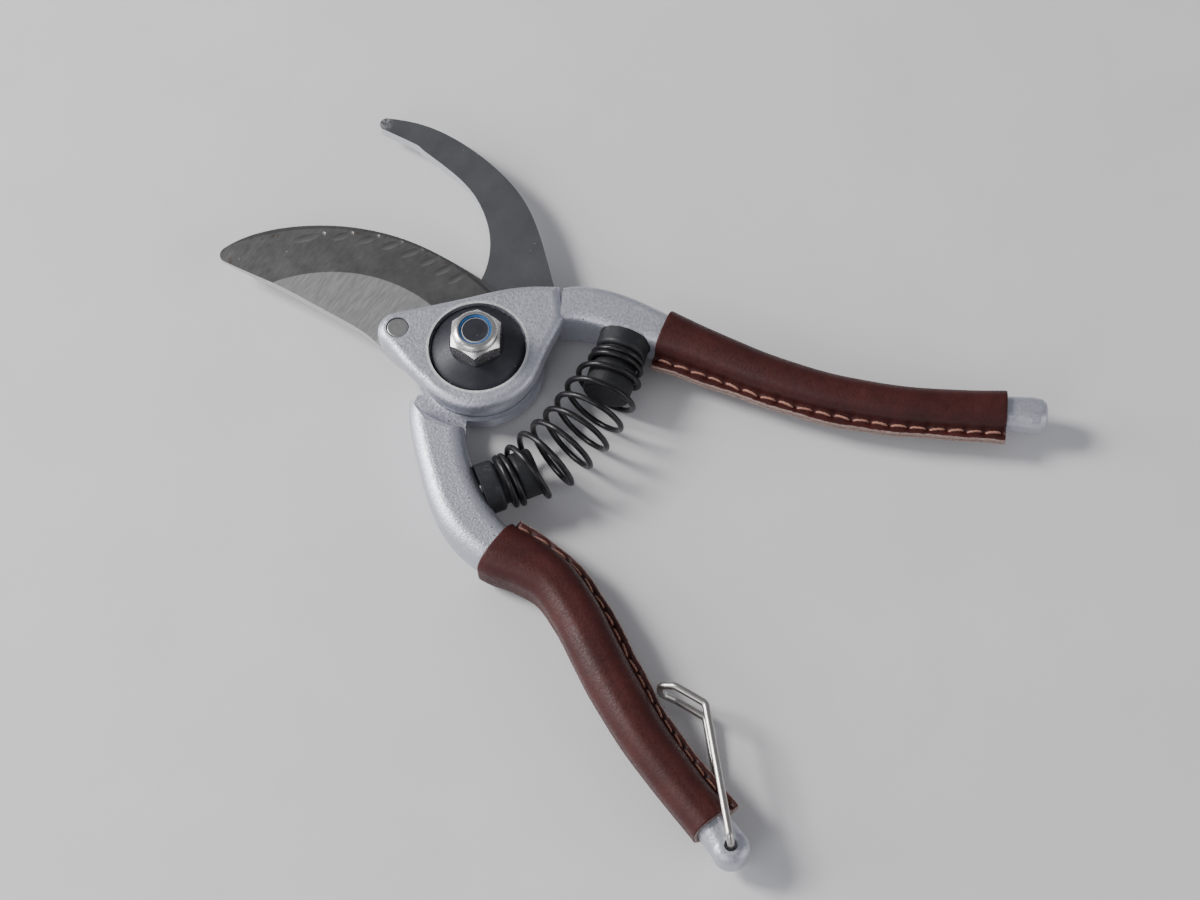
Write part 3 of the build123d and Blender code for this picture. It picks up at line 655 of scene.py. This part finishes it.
def black_steel():
    """Blackened washer and bolt: satin, a little dust, bright where the bolt's end is chamfered."""
    s = Surface("black_steel", roughness=0.46, metallic=0.1, Specular_IOR_Level=0.4)
    uneven = s.noise(4, detail=4)
    fine = s.noise(0.5, detail=3)
    tone = s.ramp(uneven, (0.3, (0.020, 0.020, 0.027)), (0.7, (0.034, 0.034, 0.044)))
    dust = s.remap(s.cells(3.0), 0.035, 0.06, 1.0, 0.0)
    tone = s.mix(s.math("MULTIPLY", dust, 0.5), tone, grey(0.45, 0.02))
    ring = s.math("MULTIPLY", s.remap(s.distance_from(0, 0), 3.42 * MM, 3.52 * MM),
                  s.remap(s.split()["Z"], BOLT_TOP * MM, (BOLT_TOP + 0.1) * MM))
    s.colour(s.mix(ring, tone, grey(0.62)))
    s.rough(s.remap(fine, 0.3, 0.7, 0.40, 0.54))
    s.bump(fine, 0.02, 0.4)
    return s.material


def spring_steel():
    """Blackened spring wire, a little lighter in patches."""
    s = Surface("spring_steel", roughness=0.33, metallic=0.6)
    fine = s.noise(0.4, detail=3)
    tone = s.ramp(s.noise(3, detail=3), (0.3, (0.020, 0.019, 0.021)), (0.75, (0.048, 0.044, 0.046)))
    s.colour(tone)
    s.rough(s.remap(fine, 0.3, 0.7, 0.26, 0.42))
    s.bump(fine, 0.012, 0.5)
    return s.material


def black_rubber():
    """Moulded black rubber with a fine matt grain and greyish scuffs."""
    s = Surface("black_rubber", roughness=0.55, Specular_IOR_Level=0.45)
    scuff = s.remap(s.noise(2.2, detail=5, roughness=0.65), 0.5, 0.75)
    s.colour(s.mix(s.math("MULTIPLY", scuff, 0.6), (0.016, 0.016, 0.019), (0.05, 0.05, 0.055)))
    fine = s.noise(0.35, detail=3)
    s.rough(s.remap(fine, 0.3, 0.7, 0.42, 0.62))
    s.bump(fine, 0.03, 0.5)
    s.bump(s.noise(1.6, detail=3), 0.08, 0.3)
    return s.material


def blue_nylon():
    """Mottled nylon ring of the lock nut."""
    s = Surface("blue_nylon", roughness=0.35, Specular_IOR_Level=0.5)
    mottle = s.noise(1.2, detail=4)
    s.colour(s.ramp(mottle, (0.3, (0.015, 0.085, 0.24)), (0.7, (0.035, 0.16, 0.40))))
    s.rough(s.remap(s.noise(0.3), 0.3, 0.7, 0.28, 0.45))
    s.bump(mottle, 0.03, 0.4)
    return s.material


def brown_leather():
    """Waxed leather: fine pebbled grain, darker handled places, pale fibres where it is cut."""
    s = Surface("brown_leather", roughness=0.5, Specular_IOR_Level=0.30, Coat_Weight=0.06,
                Coat_Roughness=0.40)
    broad = s.noise(11, detail=5, roughness=0.6)
    mottle = s.noise(1.8, detail=4, roughness=0.6)
    skin = s.ramp(broad, (0.28, (0.034, 0.0065, 0.0058)), (0.5, (0.050, 0.0100, 0.0088)),
                  (0.74, (0.068, 0.0150, 0.0130)))
    skin = s.mix(s.remap(mottle, 0.45, 0.72, 0.0, 0.5), skin, (0.032, 0.0066, 0.0060))
    fibres = s.noise(0.5, detail=4, roughness=0.7)
    cut = s.ramp(fibres, (0.3, (0.17, 0.095, 0.08)), (0.7, (0.44, 0.33, 0.29)))
    raw = s.add("ShaderNodeAttribute", attribute_name="raw").outputs["Fac"]
    edge = s.remap(s.math("ADD", raw, s.math("MULTIPLY", s.math("SUBTRACT", mottle, 0.5), 0.9)),
                   0.42, 0.72)
    s.colour(s.mix(edge, skin, cut))
    grain = s.cells(0.62, feature="SMOOTH_F1")
    s.rough(s.remap(grain, 0.1, 0.6, 0.38, 0.56))
    s.bump(grain, 0.09, 0.6)
    s.bump(s.noise(2.4, detail=2), 0.10, 0.35)
    s.bump(s.math("MULTIPLY", fibres, edge), 0.25, 0.7)
    return s.material


def leather_fibre():
    """Pale loose fibres of the flesh side."""
    s = Surface("leather_fibre", roughness=0.8)
    s.colour(s.ramp(s.noise(0.6), (0.3, (0.30, 0.21, 0.18)), (0.7, (0.52, 0.42, 0.38))))
    s.rough(s.remap(s.noise(0.3), 0.3, 0.7, 0.7, 0.9))
    return s.material


def copper_thread():
    """Waxed copper-coloured thread, its plies slightly darker in between."""
    s = Surface("copper_thread", roughness=0.55, Sheen_Weight=0.25, Sheen_Roughness=0.5)
    ply = s.noise(0.28, detail=3, roughness=0.7)
    s.colour(s.ramp(ply, (0.25, (0.20, 0.070, 0.045)), (0.7, (0.52, 0.245, 0.17))))
    s.rough(s.remap(ply, 0.3, 0.7, 0.45, 0.7))
    s.bump(s.noise(0.12, detail=2, stretch=(1, 1, 0.3)), 0.03, 0.6)
    return s.material


def bush_brass():
    """Plain bearing brass."""
    s = Surface("bush_brass", roughness=0.3, metallic=1.0)
    uneven = s.noise(1.5, detail=3)
    s.colour(s.ramp(uneven, (0.3, (0.50, 0.36, 0.15)), (0.7, (0.64, 0.48, 0.22))))
    s.rough(s.remap(uneven, 0.3, 0.7, 0.24, 0.4))
    s.bump(uneven, 0.02, 0.3)
    return s.material


MATERIALS = {
    "cast_handle": cast_handle(),
    "blade_steel": blade_steel(),
    "hook_steel": hook_steel(),
    "rivet_steel": bright_metal("rivet_steel", 0.44, 0.38, warm=0.01, dents=0.2),
    "zinc_steel": bright_metal("zinc_steel", 0.74, 0.27, warm=0.02, dents=0.02),
    "clasp_wire": bright_metal("clasp_wire", 0.50, 0.34, warm=0.04, dents=0.01),
    "black_steel": black_steel(),
    "spring_steel": spring_steel(),
    "black_rubber": black_rubber(),
    "blue_nylon": blue_nylon(),
    "brown_leather": brown_leather(),
    "copper_thread": copper_thread(),
    "bush_brass": bush_brass(),
}


def paint_cad_nodes():
    """Give every CAD node the material of its slot in the record."""
    for subpart in frame["record"]["subparts"]:
        piece = nodes[subpart["node"]]
        piece.data.materials.clear()
        piece.data.materials.append(MATERIALS[subpart["material_slot"]])


# ================================================================ pieces
def add_soft_pieces():
    """Leather, thread and frayed edge of both grips, each on its own body."""
    fibre = leather_fibre()
    for side, grip, body, seed in (("upper", UPPER_GRIP, "blade_side", 3),
                                   ("lower", LOWER_GRIP, "hook_side", 8)):
        leather = leather_grip(f"{side}_leather", grip, MATERIALS["brown_leather"], seed)
        thread = stitching(f"{side}_thread", grip, MATERIALS["copper_thread"], seed + 20)
        frayed = frayed_fibres(f"{side}_fibres", grip, fibre, seed + 40)
        for piece, slot in ((leather, "brown_leather"), (thread, "copper_thread"),
                            (frayed, "brown_leather")):
            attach(piece, body)
        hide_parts(f"{side}_grip_leather")
        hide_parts(f"{side}_stitching")


def add_spring():
    """Spring on a bowed line between the two bumpers, baked in place of the CAD spring, which is
    hidden.
    """
    piece, share, start, end = coil_spring("return_spring", MATERIALS["spring_steel"])
    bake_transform(piece)
    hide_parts("coil_spring")


# ================================================================ floor, light and camera
# Place, directions and lens of the view that the photograph was taken from, in metres.
CAMERA_AT = Vector((-0.2950, -0.2803, 0.8012))
CAMERA_RIGHT = Vector((0.58043, -0.81373, -0.03067))
CAMERA_UP = Vector((0.74339, 0.51413, 0.42784))
CAMERA_LENS = 99.0


def add_floor():
    mesh = bpy.data.meshes.new("floor")
    half = 4.0
    mesh.from_pydata([(-half, -half, 0), (half, -half, 0), (half, half, 0), (-half, half, 0)], [],
                     [(0, 1, 2, 3)])
    s = Surface("pale_floor", roughness=0.75)
    s.colour(s.ramp(s.noise(40, detail=4), (0.3, (0.70, 0.69, 0.70)), (0.7, (0.74, 0.73, 0.74))))
    s.bump(s.noise(1.2, detail=3), 0.05, 0.2)
    mesh.materials.append(s.material)
    floor = bpy.data.objects.new("floor", mesh)
    bpy.context.scene.collection.objects.link(floor)


def add_light(name, place, size, power, colour):
    """Soft square lamp aimed at the object."""
    lamp = bpy.data.lights.new(name, "AREA")
    lamp.size = size
    lamp.energy = power
    lamp.color = colour
    light = bpy.data.objects.new(name, lamp)
    light.location = place
    aim = Vector((0, -0.03, 0)) - Vector(place)
    light.rotation_euler = aim.to_track_quat("-Z", "Y").to_euler()
    light.visible_camera = False
    bpy.context.scene.collection.objects.link(light)


def add_studio():
    world = bpy.data.worlds.new("studio")
    world.use_nodes = True
    background = world.node_tree.nodes["Background"]
    background.inputs["Color"].default_value = (0.86, 0.88, 0.95, 1)
    background.inputs["Strength"].default_value = 0.27
    bpy.context.scene.world = world
    add_light("key", (-0.42, 1.15, 1.05), 0.45, 27, (1.0, 0.99, 0.975))
    add_light("rim", (-0.75, 1.25, 0.42), 0.8, 13, (0.97, 0.98, 1.0))
    add_light("front", (0.25, -1.3, 0.55), 0.9, 4.5, (0.97, 0.98, 1.0))
    add_light("left", (-1.3, -0.1, 0.8), 0.9, 6, (0.95, 0.97, 1.0))


def add_camera():
    data = bpy.data.cameras.new("camera")
    data.lens = CAMERA_LENS
    data.sensor_width = 36.0
    camera = bpy.data.objects.new("camera", data)
    back = CAMERA_RIGHT.cross(CAMERA_UP)
    turn = Matrix((CAMERA_RIGHT, CAMERA_UP, back)).transposed()
    camera.matrix_world = Matrix.Translation(CAMERA_AT) @ turn.to_4x4()
    bpy.context.scene.collection.objects.link(camera)
    bpy.context.scene.camera = camera


paint_cad_nodes()
add_soft_pieces()
add_spring()
add_floor()
add_studio()
add_camera()
